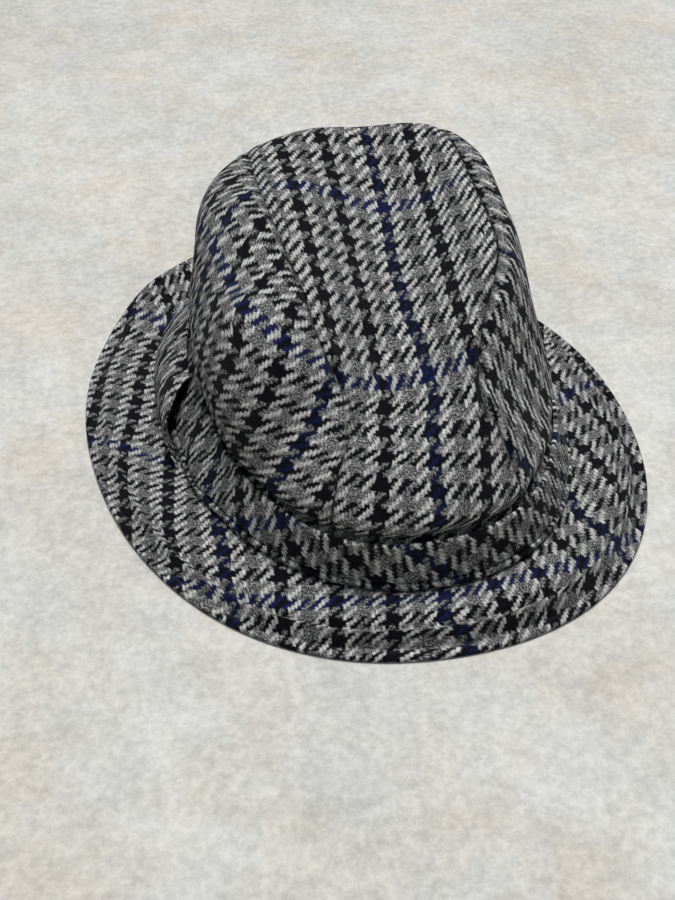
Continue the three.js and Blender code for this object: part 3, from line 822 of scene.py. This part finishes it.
def twill_group():
    """A houndstooth check in 2/2 twill, eight threads to a star, with a blue overcheck and painted shade
    between the threads.
    """
    tree, n, entry, leave = group(
        "houndstooth_twill",
        [("Stars", "NodeSocketVector"), ("Dark", "NodeSocketColor"), ("Light", "NodeSocketColor"),
         ("Grey", "NodeSocketColor"), ("Blue", "NodeSocketColor"), ("Pale", "NodeSocketFloat")],
        [("Colour", "NodeSocketColor"), ("Height", "NodeSocketFloat")],
    )
    stars = entry.outputs["Stars"]
    middle = (0.5, 0.5, 0.5)
    bent = n.scaled(n.vector("SUBTRACT", n.noise(stars, 2.2, 2.0, output="Color"), middle), WANDER)
    frayed = n.scaled(n.vector("SUBTRACT", n.noise(stars, 21.0, 2.0, 0.7, "Color"), middle), FRAY)
    moved = n.vector("ADD", n.vector("ADD", stars, bent), frayed)
    split = n.add("ShaderNodeSeparateXYZ", {0: moved})
    x = n.math("MULTIPLY", split.outputs[0], THREADS)
    y = n.math("MULTIPLY", split.outputs[1], THREADS)
    i, j = n.math("FLOOR", x), n.math("FLOOR", y)
    fx, fy = n.math("FRACT", x), n.math("FRACT", y)
    turn = n.math("FLOORED_MODULO", n.math("SUBTRACT", i, j), TWILL_STEP)
    over = n.math("LESS_THAN", turn, 1.5)
    # how far along its float each thread is, from 0 to 1
    along = n.math("MULTIPLY", n.math("ADD", n.math("SUBTRACT", 1.0, turn), fy), 0.5)
    cross = n.math("MULTIPLY", n.math("ADD", n.math("SUBTRACT", turn, 2.0), fx), 0.5)
    length_share = n.blend(over, cross, along)
    width_share = n.blend(over, fy, fx)
    bulge = n.math("SINE", n.math("MULTIPLY", length_share, math.pi))
    round_off = n.math("SINE", n.math("MULTIPLY", width_share, math.pi))
    height = n.math("MULTIPLY", n.math("POWER", n.math("MAXIMUM", bulge, 0.001), 0.5),
                    n.math("POWER", n.math("MAXIMUM", round_off, 0.001), 0.6))
    # colours by thread: across the cloth dark, light, grey, light and along it dark, grey
    warp = n.math("FLOOR", n.math("DIVIDE", n.math("FLOORED_MODULO", i, 2 * THREADS), COLOUR_GROUP))
    weft = n.math("FLOOR", n.math("DIVIDE", n.math("FLOORED_MODULO", j, THREADS), COLOUR_GROUP))
    warp_dark = n.math("LESS_THAN", warp, 0.5)
    warp_grey = n.math("COMPARE", warp, 2.0, 0.1)
    weft_dark = n.math("LESS_THAN", weft, 0.5)
    # the overcheck replaces a dark group every eighth star
    far_i = n.math("FLOOR", n.math("DIVIDE", n.math("ADD", i, 0.5), THREADS))
    far_j = n.math("FLOOR", n.math("DIVIDE", n.math("ADD", j, 0.5), THREADS))
    warp_blue = n.math("MULTIPLY", warp_dark, n.every(far_i, OVERCHECK))
    weft_blue = n.math("MULTIPLY", weft_dark, n.every(far_j, OVERCHECK))
    dark, light = entry.outputs["Dark"], entry.outputs["Light"]
    grey, blue = entry.outputs["Grey"], entry.outputs["Blue"]
    fibre = n.ramp(n.noise(stars, 14.0, 3.0, 0.85), 0.45, 0.6)
    melange = n.mix(0.78, grey, n.mix(fibre, dark, light))
    warp_colour = n.mix(warp_dark, n.mix(warp_grey, light, melange), dark)
    warp_colour = n.mix(warp_blue, warp_colour, blue)
    paler = n.ramp(entry.outputs["Pale"], 0.3, 0.5)
    warp_colour = n.mix(paler, warp_colour, light)
    weft_colour = n.mix(weft_dark, melange, dark)
    weft_colour = n.mix(weft_blue, weft_colour, n.scaled(blue, 1.45))
    weft_colour = n.mix(n.math("MULTIPLY", paler, 0.7), weft_colour, dark)
    yarn = n.mix(over, weft_colour, warp_colour)
    # each thread is a little lighter or darker than its neighbours
    tally = n.add("ShaderNodeCombineXYZ", {0: n.blend(over, j, i), 1: over})
    chance = n.add("ShaderNodeTexWhiteNoise", {"Vector": tally.outputs[0]}, noise_dimensions="3D")
    cell = n.add("ShaderNodeCombineXYZ", {0: i, 1: j})
    cell_chance = n.add("ShaderNodeTexWhiteNoise", {"Vector": cell.outputs[0]}, noise_dimensions="3D")
    uneven = n.ramp(chance.outputs[0], 0.0, 1.0, 0.8, 1.05)
    uneven = n.math("ADD", uneven, n.ramp(cell_chance.outputs[0], 0.0, 1.0, -0.16, 0.12))
    # each thread's low edges are darker than its crown: painted shade between the threads, times random tone
    # per thread and fibre
    shade = n.math("MULTIPLY", n.ramp(height, 0.0, 0.85, 0.42, 1.05), uneven)
    fuzz = n.noise(stars, 26.0, 3.0, 0.8)
    shade = n.math("MULTIPLY", shade, n.ramp(fuzz, 0.36, 0.64, 0.55, 1.35))
    n.link(n.scaled(yarn, shade), leave, "Colour")
    n.link(n.math("ADD", height, n.math("MULTIPLY", fuzz, 0.35)), leave, "Height")
    return tree


def seam_group():
    """Lowers the cloth beside a seam or an edge, and darkens it with painted shade as if in the seam's
    groove.
    """
    results = [("Shade", "NodeSocketFloat"), ("Height", "NodeSocketFloat")]
    tree, n, entry, leave = group("seam_painted_shade", [("Distance", "NodeSocketFloat")], results)
    distance = entry.outputs["Distance"]
    # the Shade output is painted shade, darkest in the groove and fading away from it
    n.link(n.ramp(distance, 0.0, SEAM_SHADE["reach"], SEAM_SHADE["darkest"], 1.0), leave, "Shade")
    n.link(n.ramp(distance, 0.0, SEAM_SHADE["low"]), leave, "Height")
    return tree


def new_material(name, roughness, specular):
    material = bpy.data.materials.new(name)
    material.use_nodes = True
    shader = material.node_tree.nodes["Principled BSDF"]
    shader.inputs["Roughness"].default_value = roughness
    shader.inputs["Specular IOR Level"].default_value = specular
    return material, Nodes(material.node_tree), shader


def tweed():
    return bpy.data.materials.get("tweed_cloth") or cloth_material()


def cloth_material():
    c = colours()
    material, n, shader = new_material("tweed_cloth", 0.95, 0.02)
    yarns = {"Dark": c.dark, "Light": c.light, "Grey": c.grey, "Blue": c.blue}
    weave = n.add("ShaderNodeGroup", node_tree=twill_group())
    for label, value in yarns.items():
        weave.inputs[label].default_value = tuple(value)
    pale = n.add("ShaderNodeAttribute", attribute_name="pale_yarn")
    distance = n.add("ShaderNodeAttribute", attribute_name="seam_distance")
    edge = n.add("ShaderNodeGroup", node_tree=seam_group())
    n.link(n.add("ShaderNodeUVMap", uv_map="cloth").outputs[0], weave, "Stars")
    n.link(pale.outputs["Fac"], weave, "Pale")
    n.link(distance.outputs["Fac"], edge, "Distance")
    # painted shade beside seams and the brim's stitch line darkens the yarn colour
    n.link(n.scaled(weave.outputs["Colour"], edge.outputs["Shade"]), shader, "Base Color")
    yarn_bump = {"Height": weave.outputs["Height"], "Strength": 0.55, "Distance": 0.0007}
    seam_bump = {"Height": edge.outputs["Height"], "Strength": 1.0, "Distance": 0.0012}
    seam_bump["Normal"] = n.add("ShaderNodeBump", yarn_bump).outputs[0]
    n.link(n.add("ShaderNodeBump", seam_bump).outputs[0], shader, "Normal")
    shader.inputs["Sheen Weight"].default_value = 0.04
    shader.inputs["Sheen Roughness"].default_value = 0.6
    return material


def stone_material():
    material, n, shader = new_material("stone", 0.8, 0.2)
    place = n.add("ShaderNodeTexCoord").outputs["Object"]
    base = tuple(colours().stone)
    warm = (base[0] * 1.02, base[1] * 0.975, base[2] * 0.91, 1)
    grain = n.noise(place, 240.0, 5.0, 0.8)
    tone = n.ramp(n.noise(place, 11.0, 6.0, 0.65), 0.3, 0.7, 0.91, 1.05)
    tone = n.math("ADD", tone, n.ramp(n.noise(place, 60.0, 5.0, 0.7), 0.3, 0.7, -0.09, 0.07))
    tone = n.math("ADD", tone, n.ramp(grain, 0.3, 0.7, -0.11, 0.1))
    tint = n.mix(n.ramp(n.noise(place, 16.0, 5.0, 0.65), 0.42, 0.66), base, warm)
    n.link(n.scaled(tint, tone), shader, "Base Color")
    bump = {"Height": grain, "Strength": 0.15, "Distance": 0.0006}
    n.link(n.add("ShaderNodeBump", bump).outputs[0], shader, "Normal")
    return material


# Pieces

# Each place on the crown also has a place on a flat disc: its angle, and 1 less its share of the way up.
RING_SHARE = 0.42
TOP_SHARE = 0.999

# rings and rays that a seam is sought on, places round a ring, and how often each search is halved
SEAM_RINGS = 60
SEAM_RAYS = 240
RING_PLACES = 1441
HALVINGS = 30


def beside_seam(hat, path, angles, shares):
    points = hat.crown(angles, shares)
    return points[..., 0] - hat.seam_side(path, points[..., 1])


def ring_crossings(hat, path, share, near):
    """The first and last angle at which a ring of the crown meets a seam, around the angle near."""
    angles = near + np.linspace(-math.pi, math.pi, RING_PLACES)
    beside = beside_seam(hat, path, angles, np.full(len(angles), share))
    at = np.nonzero(beside[:-1] * beside[1:] < 0)[0]
    exact = angles[at] - beside[at] * (angles[1] - angles[0]) / (beside[at + 1] - beside[at])
    return exact[0], exact[-1]


def seam_curve(hat, path, near, count):
    """A seam on the disc, as evenly spread places from the front to the back."""
    shares = np.linspace(0, RING_SHARE, SEAM_RINGS)
    first, last = np.array([ring_crossings(hat, path, share, near) for share in shares]).T
    rays = np.linspace(first[-1], last[-1], SEAM_RAYS + 2)[1:-1]
    low, high = np.full(SEAM_RAYS, RING_SHARE), np.full(SEAM_RAYS, TOP_SHARE)
    side = np.sign(beside_seam(hat, path, rays, low))
    for _ in range(HALVINGS):
        middle = (low + high) / 2
        before = beside_seam(hat, path, rays, middle) * side > 0
        low, high = np.where(before, middle, low), np.where(before, high, middle)
    angles = np.concatenate([first, rays, last[::-1]])
    shares = np.concatenate([shares, low, shares[::-1]])
    if math.sin(angles[0]) > math.sin(angles[-1]):
        angles, shares = angles[::-1], shares[::-1]
    places = hat.crown(angles, shares)
    run = np.append(0, np.cumsum(np.linalg.norm(np.diff(places, axis=0), axis=1)))
    even = np.linspace(0, run[-1], count)
    disc = np.stack([(1 - shares) * np.cos(angles), (1 - shares) * np.sin(angles)], -1)
    return np.stack([np.interp(even, run, disc[:, 0]), np.interp(even, run, disc[:, 1])], -1)


def rim_arc(start, end, count):
    """The crown's lower edge on the disc, from one place on it to another."""
    first = math.atan2(start[1], start[0])
    last = math.atan2(end[1], end[0])
    angles = np.linspace(first, first + (last - first + math.pi) % (2 * math.pi) - math.pi, count)
    return np.stack([np.cos(angles), np.sin(angles)], -1)


def beside_seams(count):
    """Places from 0 to 1, closer together at both ends."""
    t = np.linspace(0, 1, count)
    return 0.72 * (0.5 - 0.5 * np.cos(np.pi * t)) + 0.28 * t


def middle_sheet(left, right, columns):
    t = beside_seams(columns)[None, :, None]
    s = np.linspace(0, 1, len(left))[:, None, None]
    spread = np.linspace(0, 1, 400)
    front, back = rim_arc(left[0], right[0], 400), rim_arc(left[-1], right[-1], 400)
    front = np.stack([np.interp(t[0, :, 0], spread, front[:, k]) for k in (0, 1)], -1)[None]
    back = np.stack([np.interp(t[0, :, 0], spread, back[:, k]) for k in (0, 1)], -1)[None]
    corners = (1 - s) * ((1 - t) * left[0] + t * right[0]) + s * ((1 - t) * left[-1] + t * right[-1])
    return (1 - t) * left[:, None] + t * right[:, None] + (1 - s) * front + s * back - corners


def side_sheet(seam, columns, outward):
    rim = rim_arc(seam[0], outward, len(seam) // 2)
    rim = np.concatenate([rim, rim_arc(outward, seam[-1], len(seam) - len(rim) + 1)[1:]])
    t = beside_seams(columns)[None, :, None]
    return (1 - t) * seam[:, None] + t * rim[:, None]


class CrownOperator(bpy.types.Operator):
    """Builds the three panels of the crown, parted by two seams"""

    bl_idname = "trilby.crown"
    bl_label = "Crown panels"

    def execute(self, context):
        hat = Hat(sizes())
        left = seam_curve(hat, LEFT_SEAM, math.pi, SEAM_ROWS)
        right = seam_curve(hat, RIGHT_SEAM, 0.0, SEAM_ROWS)
        build_panel(hat, "left", side_sheet(left, SIDE_COLUMNS, (-1, 0))[:, ::-1])
        build_panel(hat, "middle", middle_sheet(left, right, MIDDLE_COLUMNS))
        build_panel(hat, "right", side_sheet(right, SIDE_COLUMNS, (1, 0)))
        return {"FINISHED"}


def seam_distance(hat, places, normals):
    nearest = np.full(len(places), 1.0)
    for path in (LEFT_SEAM, RIGHT_SEAM):
        step = 0.001
        beside = places[:, 0] - hat.seam_side(path, places[:, 1])
        ahead = hat.seam_side(path, places[:, 1] + step)
        slope = (ahead - hat.seam_side(path, places[:, 1] - step)) / (2 * step)
        across = np.stack([np.ones_like(slope), -slope, np.zeros_like(slope)], -1)
        tilt = (across * normals).sum(1, keepdims=True) * normals
        steepness = np.linalg.norm(across - tilt, axis=1)
        nearest = np.minimum(nearest, np.abs(beside) / np.maximum(steepness, 0.2))
    return nearest


def build_panel(hat, panel, disc):
    angles = np.arctan2(disc[..., 1], disc[..., 0])
    shares = 1 - np.linalg.norm(disc, axis=-1)
    grid = hat.crown(angles, shares)
    normals = hat.crown_normal(angles, shares).reshape(-1, 3)
    stars = lay_check(panel, grid)
    places = grid.reshape(-1, 3)
    distances = seam_distance(hat, places, normals)
    push = fold_push(places) + ripple(places, *RIPPLES["crown"])
    push *= smooth_step((places[:, 2] - hat.band_top + 0.002) / 0.012)
    depth = SEAM["depth"] + SEAM["front"] * smooth_step((0 - places[:, 1] / MM) / 40)
    push += SEAM["ridge"] * bell((distances - SEAM["ridge_at"]) / SEAM["ridge_width"])
    push -= depth * bell(distances / SEAM["width"])
    front = smooth_step(0.5 - 0.9 * places[:, 1] / hat.half[1])
    for tuck in CROWN_TUCKS:
        away = (places[:, 2] - hat.band_top - tuck["above"]) / tuck["width"]
        push += (tuck["push"] + tuck["front"] * front) * bell(away)
    points = places + normals * push[:, None]
    pale = bell((distances - PALE_YARN["at"]) / PALE_YARN["width"])
    pale *= smooth_step((places[:, 1] / MM + 40) / 25)
    pale *= 1.0 if panel == "middle" else PALE_YARN["beside"]
    # seam_distance also sets the painted shade along the seams in the cloth material
    marks = {"seam_distance": distances, "pale_yarn": pale}
    piece = new_piece(f"crown_{panel}_cloth", points, grid_faces(*grid.shape[:2]), stars, marks)
    edit_mesh(piece, close_up)
    thicken(piece, sizes().crown_cloth, use_even_offset=False)
    finish_piece(piece, f"crown_{panel}_panel")


def band_stars(hat, angle, height):
    """Star numbers on the band, whose cloth is cut on the slant."""
    turns = np.radians(np.linspace(90, 450, 2 * AROUND - 1))
    middle = np.full(len(turns), (hat.s.brim_root + hat.band_top) / 2)
    line = hat.crown_line(turns, middle, np.full(len(turns), hat.s.band_cloth))
    run = np.append(0, np.cumsum(np.linalg.norm(np.diff(line, axis=0), axis=1)))
    front = np.argmin(np.linalg.norm(line[:, :2] - np.array(BAND_START[:2]) * MM, axis=1))
    along = (np.interp(angle, turns, run) - run[front]) / MM
    for gather in BAND_GATHERS:
        away = (np.degrees(angle) - gather["angle"]) / gather["spread"]
        side = math.copysign(1, gather["angle"] - 270)
        along = along + side * gather["cloth"] * smooth_step(0.5 + side * away / 2)
    up = height / MM - BAND_START[2]
    steps = along[..., None] * BAND_SLANT["round"] + up[..., None] * BAND_SLANT["up"]
    return BAND_START_STAR + steps / BAND_STRETCH


class BandOperator(bpy.types.Operator):
    """Builds the band and its loop"""

    bl_idname = "trilby.band"
    bl_label = "Band and loop"

    def execute(self, context):
        s = sizes()
        hat = Hat(s)
        angles = np.radians(np.linspace(90, 450, AROUND))
        foot = s.brim_root + 2 * s.gap
        rows = []
        for share in np.linspace(0, 1, BAND_ROWS):
            height = foot + column(BAND_PROFILE, "up", share) * (hat.band_top - foot)
            distance = s.gap + column(BAND_PROFILE, "out", share) * s.band_cloth
            rows.append(hat.crown_line(angles, np.full(AROUND, height), np.full(AROUND, distance)))
        points = np.array(rows)
        outward = points - points.mean((0, 1))
        outward[..., 2] = 0
        outward /= np.linalg.norm(outward, axis=-1, keepdims=True)
        up = np.clip((points[..., 2] - foot) / (hat.band_top - foot), 0, 1)
        swell_at = LOOP_MOUTH_FOOT + BAND_SWELL["beside"] + (LOOP_MOUTH_HEAD - LOOP_MOUTH_FOOT) * up
        swell = BAND_SWELL["height"] * bell((np.degrees(angles) - swell_at) / BAND_SWELL["width"])
        swell *= np.sin(np.pi * np.clip(up, 0.08, 1)) ** 0.7
        points = points + outward * (swell + ripple(points, *RIPPLES["band"]))[..., None]
        stars = band_stars(hat, np.broadcast_to(angles, points.shape[:2]), points[..., 2])
        marks = {"seam_distance": np.full(up.size, FAR_FROM_SEAM)}
        piece = new_piece("band_cloth", points, ring_faces(BAND_ROWS, AROUND), stars, marks)
        edit_mesh(piece, close_up)
        edit_mesh(piece, turn_outward)
        finish_piece(piece, "band")
        self.loop(hat)
        return {"FINISHED"}

    def loop(self, hat):
        s = hat.s
        from_mouth = np.linspace(0, 1, LOOP_COLUMNS) ** LOOP_SHAPE["crowding"]
        along, up = np.meshgrid(from_mouth, np.linspace(0, 1, LOOP_ROWS), indexing="ij")
        mouth = LOOP_MOUTH_FOOT + (LOOP_MOUTH_HEAD - LOOP_MOUTH_FOOT) * up
        angle = np.radians(mouth + (LOOP_REAR - mouth) * along)
        height = s.brim_root + 3 * s.gap + (hat.band_top - s.brim_root - 3 * s.gap) * up
        puff = s.loop_puff * (1 - along) ** LOOP_SHAPE["fade"] * np.sin(np.pi * up) ** LOOP_SHAPE["edges"]
        points = hat.crown_line(angle, height, 3 * s.gap + s.band_cloth + puff + s.loop_cloth)
        marks = {"seam_distance": np.full(up.size, FAR_FROM_SEAM)}
        faces = grid_faces(LOOP_COLUMNS, LOOP_ROWS)
        piece = new_piece("band_loop_cloth", points, faces, band_stars(hat, angle, height), marks)
        edit_mesh(piece, turn_left)
        thickness = piece.vertex_groups.new(name="thickness")
        for index, share in enumerate(smooth_step(along / LOOP_SHAPE["thinned"]).ravel()):
            thickness.add([index], float(share), "REPLACE")
        thinnest = LOOP_SHAPE["thinnest"]
        thicken(piece, s.loop_cloth, vertex_group="thickness", thickness_vertex_group=thinnest)
        finish_piece(piece, "band_loop")


class BrimOperator(bpy.types.Operator):
    """Builds the brim of two layers sewn at the edge"""

    bl_idname = "trilby.brim"
    bl_label = "Brim"

    def execute(self, context):
        s = sizes()
        hat = Hat(s)
        angles = np.radians(np.linspace(90, 450, AROUND))
        outs = np.linspace(0, 1, BRIM_ROWS)
        top = np.array([hat.brim(angles, np.full(AROUND, out)) for out in outs])
        lift = ripple(top, *RIPPLES["brim"]) * smooth_step(outs / 0.2)[:, None]
        top[..., 2] += lift * smooth_step((1 - outs) / 0.2)[:, None]
        front = smooth_step(0.55 - 0.75 * np.sin(angles))
        ridge = bell((outs - BRIM_GROOVE["ridge"]) / BRIM_GROOVE["width"])
        hollow = bell((outs - BRIM_GROOVE["hollow"]) / BRIM_GROOVE["width"])
        top[..., 2] += BRIM_GROOVE["height"] * (ridge - hollow)[:, None] * front
        stars = lay_check("brim", top[:, ::-1], 5, 7)[:, ::-1]
        edge_step = np.linalg.norm(top[-1] - top[-3], axis=-1)[:, None]
        edge_stars = (stars[-1] - stars[-3]) / edge_step
        under = top.copy()
        under[..., 2] = np.maximum(0, top[..., 2] - s.brim_cloth)
        over = s.brim_cloth * BRIM_EDGE["cloth"]
        rings = list(top)
        laid = list(stars)
        for turn in np.linspace(0, math.pi, BRIM_EDGE["rings"])[1:-1]:
            grow = BRIM_EDGE["bulge"] * math.sin(turn)
            x, y = hat.brim_outline(angles, grow)
            drop = s.brim_cloth * (1 - math.cos(turn)) / 2
            rings.append(np.stack([x, y, top[-1][:, 2] - drop], -1))
            laid.append(stars[-1] + edge_stars * turn / math.pi * over)
        rings += list(under[::-1])
        laid += list(stars[-1] + edge_stars * over + stars[-1] - stars[::-1])
        points = np.array(rings)
        # the line of stitches near the edge gets the same painted shade as the seams
        distance = np.linalg.norm(points[..., :2] - points[BRIM_ROWS - 1][..., :2], axis=-1)
        beside = np.abs(distance - BRIM_EDGE["stitches"]).ravel() + BRIM_EDGE["stitch_width"]
        marks = {"seam_distance": beside}
        piece = new_piece("brim_cloth", points, ring_faces(len(points), AROUND), laid, marks)
        edit_mesh(piece, close_up)
        edit_mesh(piece, turn_outward)
        finish_piece(piece, "brim")
        return {"FINISHED"}


class StageOperator(bpy.types.Operator):
    """Adds the surface, the lights and the camera"""

    bl_idname = "trilby.stage"
    bl_label = "Surface, lights and camera"

    def execute(self, context):
        scene = context.scene
        bm = bmesh.new()
        bmesh.ops.create_grid(bm, x_segments=1, y_segments=1, size=6.0)
        mesh = bpy.data.meshes.new("stone_surface")
        bm.to_mesh(mesh)
        bm.free()
        floor = bpy.data.objects.new("stone_surface", mesh)
        scene.collection.objects.link(floor)
        mesh.materials.append(stone_material())
        world = bpy.data.worlds.new("daylight")
        world.use_nodes = True
        sky = world.node_tree.nodes["Background"]
        sky.inputs["Color"].default_value = SKY["colour"]
        sky.inputs["Strength"].default_value = SKY["strength"]
        scene.world = world
        for row in LIGHTS:
            light = bpy.data.lights.new(row["name"], "AREA")
            light.energy = row["power"]
            light.size = row["size"]
            lamp = bpy.data.objects.new(row["name"], light)
            scene.collection.objects.link(lamp)
            lamp.location = row["place"]
            aim = Vector(row["aim"]) - Vector(row["place"])
            lamp.rotation_euler = aim.to_track_quat("-Z", "Y").to_euler()
        camera = bpy.data.cameras.new("camera")
        camera.sensor_width = CAMERA["sensor"]
        camera.sensor_fit = "HORIZONTAL"
        camera.lens = CAMERA["lens"]
        eye = bpy.data.objects.new("camera", camera)
        scene.collection.objects.link(eye)
        eye.location = CAMERA["place"]
        eye.rotation_euler = Vector(camera_look()).to_track_quat("-Z", "Y").to_euler()
        camera.clip_start = 0.01
        scene.camera = eye
        scene.view_settings.view_transform = "Standard"
        return {"FINISHED"}


class TrilbyPanel(bpy.types.Panel):
    bl_idname = "TRILBY_PT_main"
    bl_label = "Tweed trilby"
    bl_space_type = "VIEW_3D"
    bl_region_type = "UI"
    bl_category = "Trilby"

    def draw(self, context):
        for settings in (context.scene.trilby_sizes, context.scene.trilby_colours):
            box = self.layout.box()
            for name in settings.__annotations__:
                box.prop(settings, name)
        for operator in (CrownOperator, BandOperator, BrimOperator, StageOperator):
            self.layout.operator(operator.bl_idname)


CLASSES = (TrilbySizes, TrilbyColours, CrownOperator, BandOperator, BrimOperator, StageOperator, TrilbyPanel)


def register():
    for cls in CLASSES:
        bpy.utils.register_class(cls)
    bpy.types.Scene.trilby_sizes = PointerProperty(type=TrilbySizes)
    bpy.types.Scene.trilby_colours = PointerProperty(type=TrilbyColours)


def unregister():
    del bpy.types.Scene.trilby_colours
    del bpy.types.Scene.trilby_sizes
    for cls in reversed(CLASSES):
        bpy.utils.unregister_class(cls)


def main():
    register()
    bpy.ops.trilby.crown()
    bpy.ops.trilby.band()
    bpy.ops.trilby.brim()
    bpy.ops.trilby.stage()


if __name__ == "__main__":
    main()
